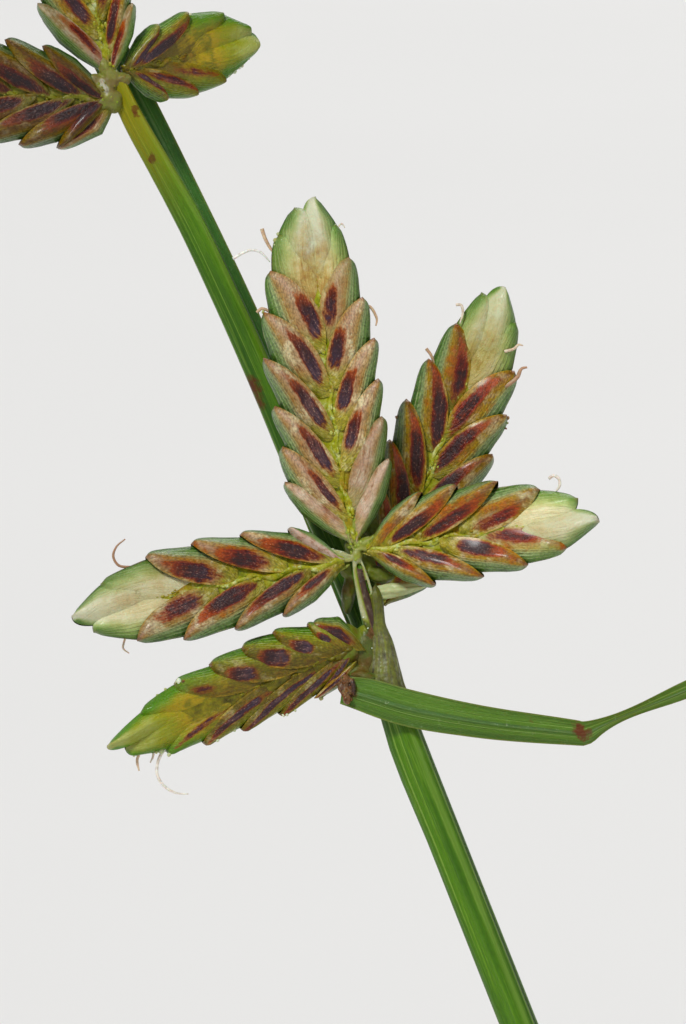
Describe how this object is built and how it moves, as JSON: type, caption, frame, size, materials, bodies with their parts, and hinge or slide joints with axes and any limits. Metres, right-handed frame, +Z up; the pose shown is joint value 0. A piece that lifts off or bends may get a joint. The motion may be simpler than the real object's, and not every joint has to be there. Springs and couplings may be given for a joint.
{
  "type": "potted flatsedge",
  "caption": "Potted sedge: three-angled green culms and grassy leaves in a plain clay pot, with heads of flat red-brown spikelets and long bracts.",
  "frame": {"origin": "centre of the pot's underside, on the surface that it stands on", "axes": "+Z up along the pot's axis; the tallest head of spikelets faces -Y"},
  "size_m": [0.2119, 0.2066, 0.352],
  "materials": {
    "clay": "matt, unglazed terracotta",
    "soil": "rough, moist dark loam",
    "culm_green": "satin, ribbed green stem",
    "leaf_green": "satin, veined green blade",
    "spikelet": "satin glumes, green keels and dark red-brown sides"
  },
  "bodies": {
    "root": {"bract_1_long": "leaf_green", "bract_1_short": "leaf_green", "bract_2_long": "leaf_green", "bract_2_short": "leaf_green", "bract_3_long": "leaf_green", "bract_3_short": "leaf_green", "bract_4_long": "leaf_green", "bract_4_short": "leaf_green", "bract_5_long": "leaf_green", "bract_5_short": "leaf_green", "bract_6_long": "leaf_green", "bract_6_short": "leaf_green", "bract_7_long": "leaf_green", "bract_7_short": "leaf_green", "bract_back": "leaf_green", "bract_front": "leaf_green", "culm_1": "culm_green", "culm_2": "culm_green", "culm_3": "culm_green", "culm_4": "culm_green", "culm_5": "culm_green", "culm_6": "culm_green", "culm_7": "culm_green", "culm_main": "culm_green", "head_1": "spikelet", "head_2": "spikelet", "head_3": "spikelet", "head_4": "spikelet", "head_5": "spikelet", "head_6": "spikelet", "head_7": "spikelet", "leaf_1": "leaf_green", "leaf_10": "leaf_green", "leaf_11": "leaf_green", "leaf_12": "leaf_green", "leaf_13": "leaf_green", "leaf_14": "leaf_green", "leaf_2": "leaf_green", "leaf_3": "leaf_green", "leaf_4": "leaf_green", "leaf_5": "leaf_green", "leaf_6": "leaf_green", "leaf_7": "leaf_green", "leaf_8": "leaf_green", "leaf_9": "leaf_green", "pot": "clay", "ray_main": "culm_green", "soil": "soil", "spikelet_back": "spikelet", "spikelet_left": "spikelet", "spikelet_low_left": "spikelet", "spikelet_right": "spikelet", "spikelet_tall": "spikelet", "spikelet_upper_right": "spikelet", "upper_spikelet_left": "spikelet", "upper_spikelet_right": "spikelet", "upper_spikelet_top": "spikelet"}
  },
  "joints": []
}
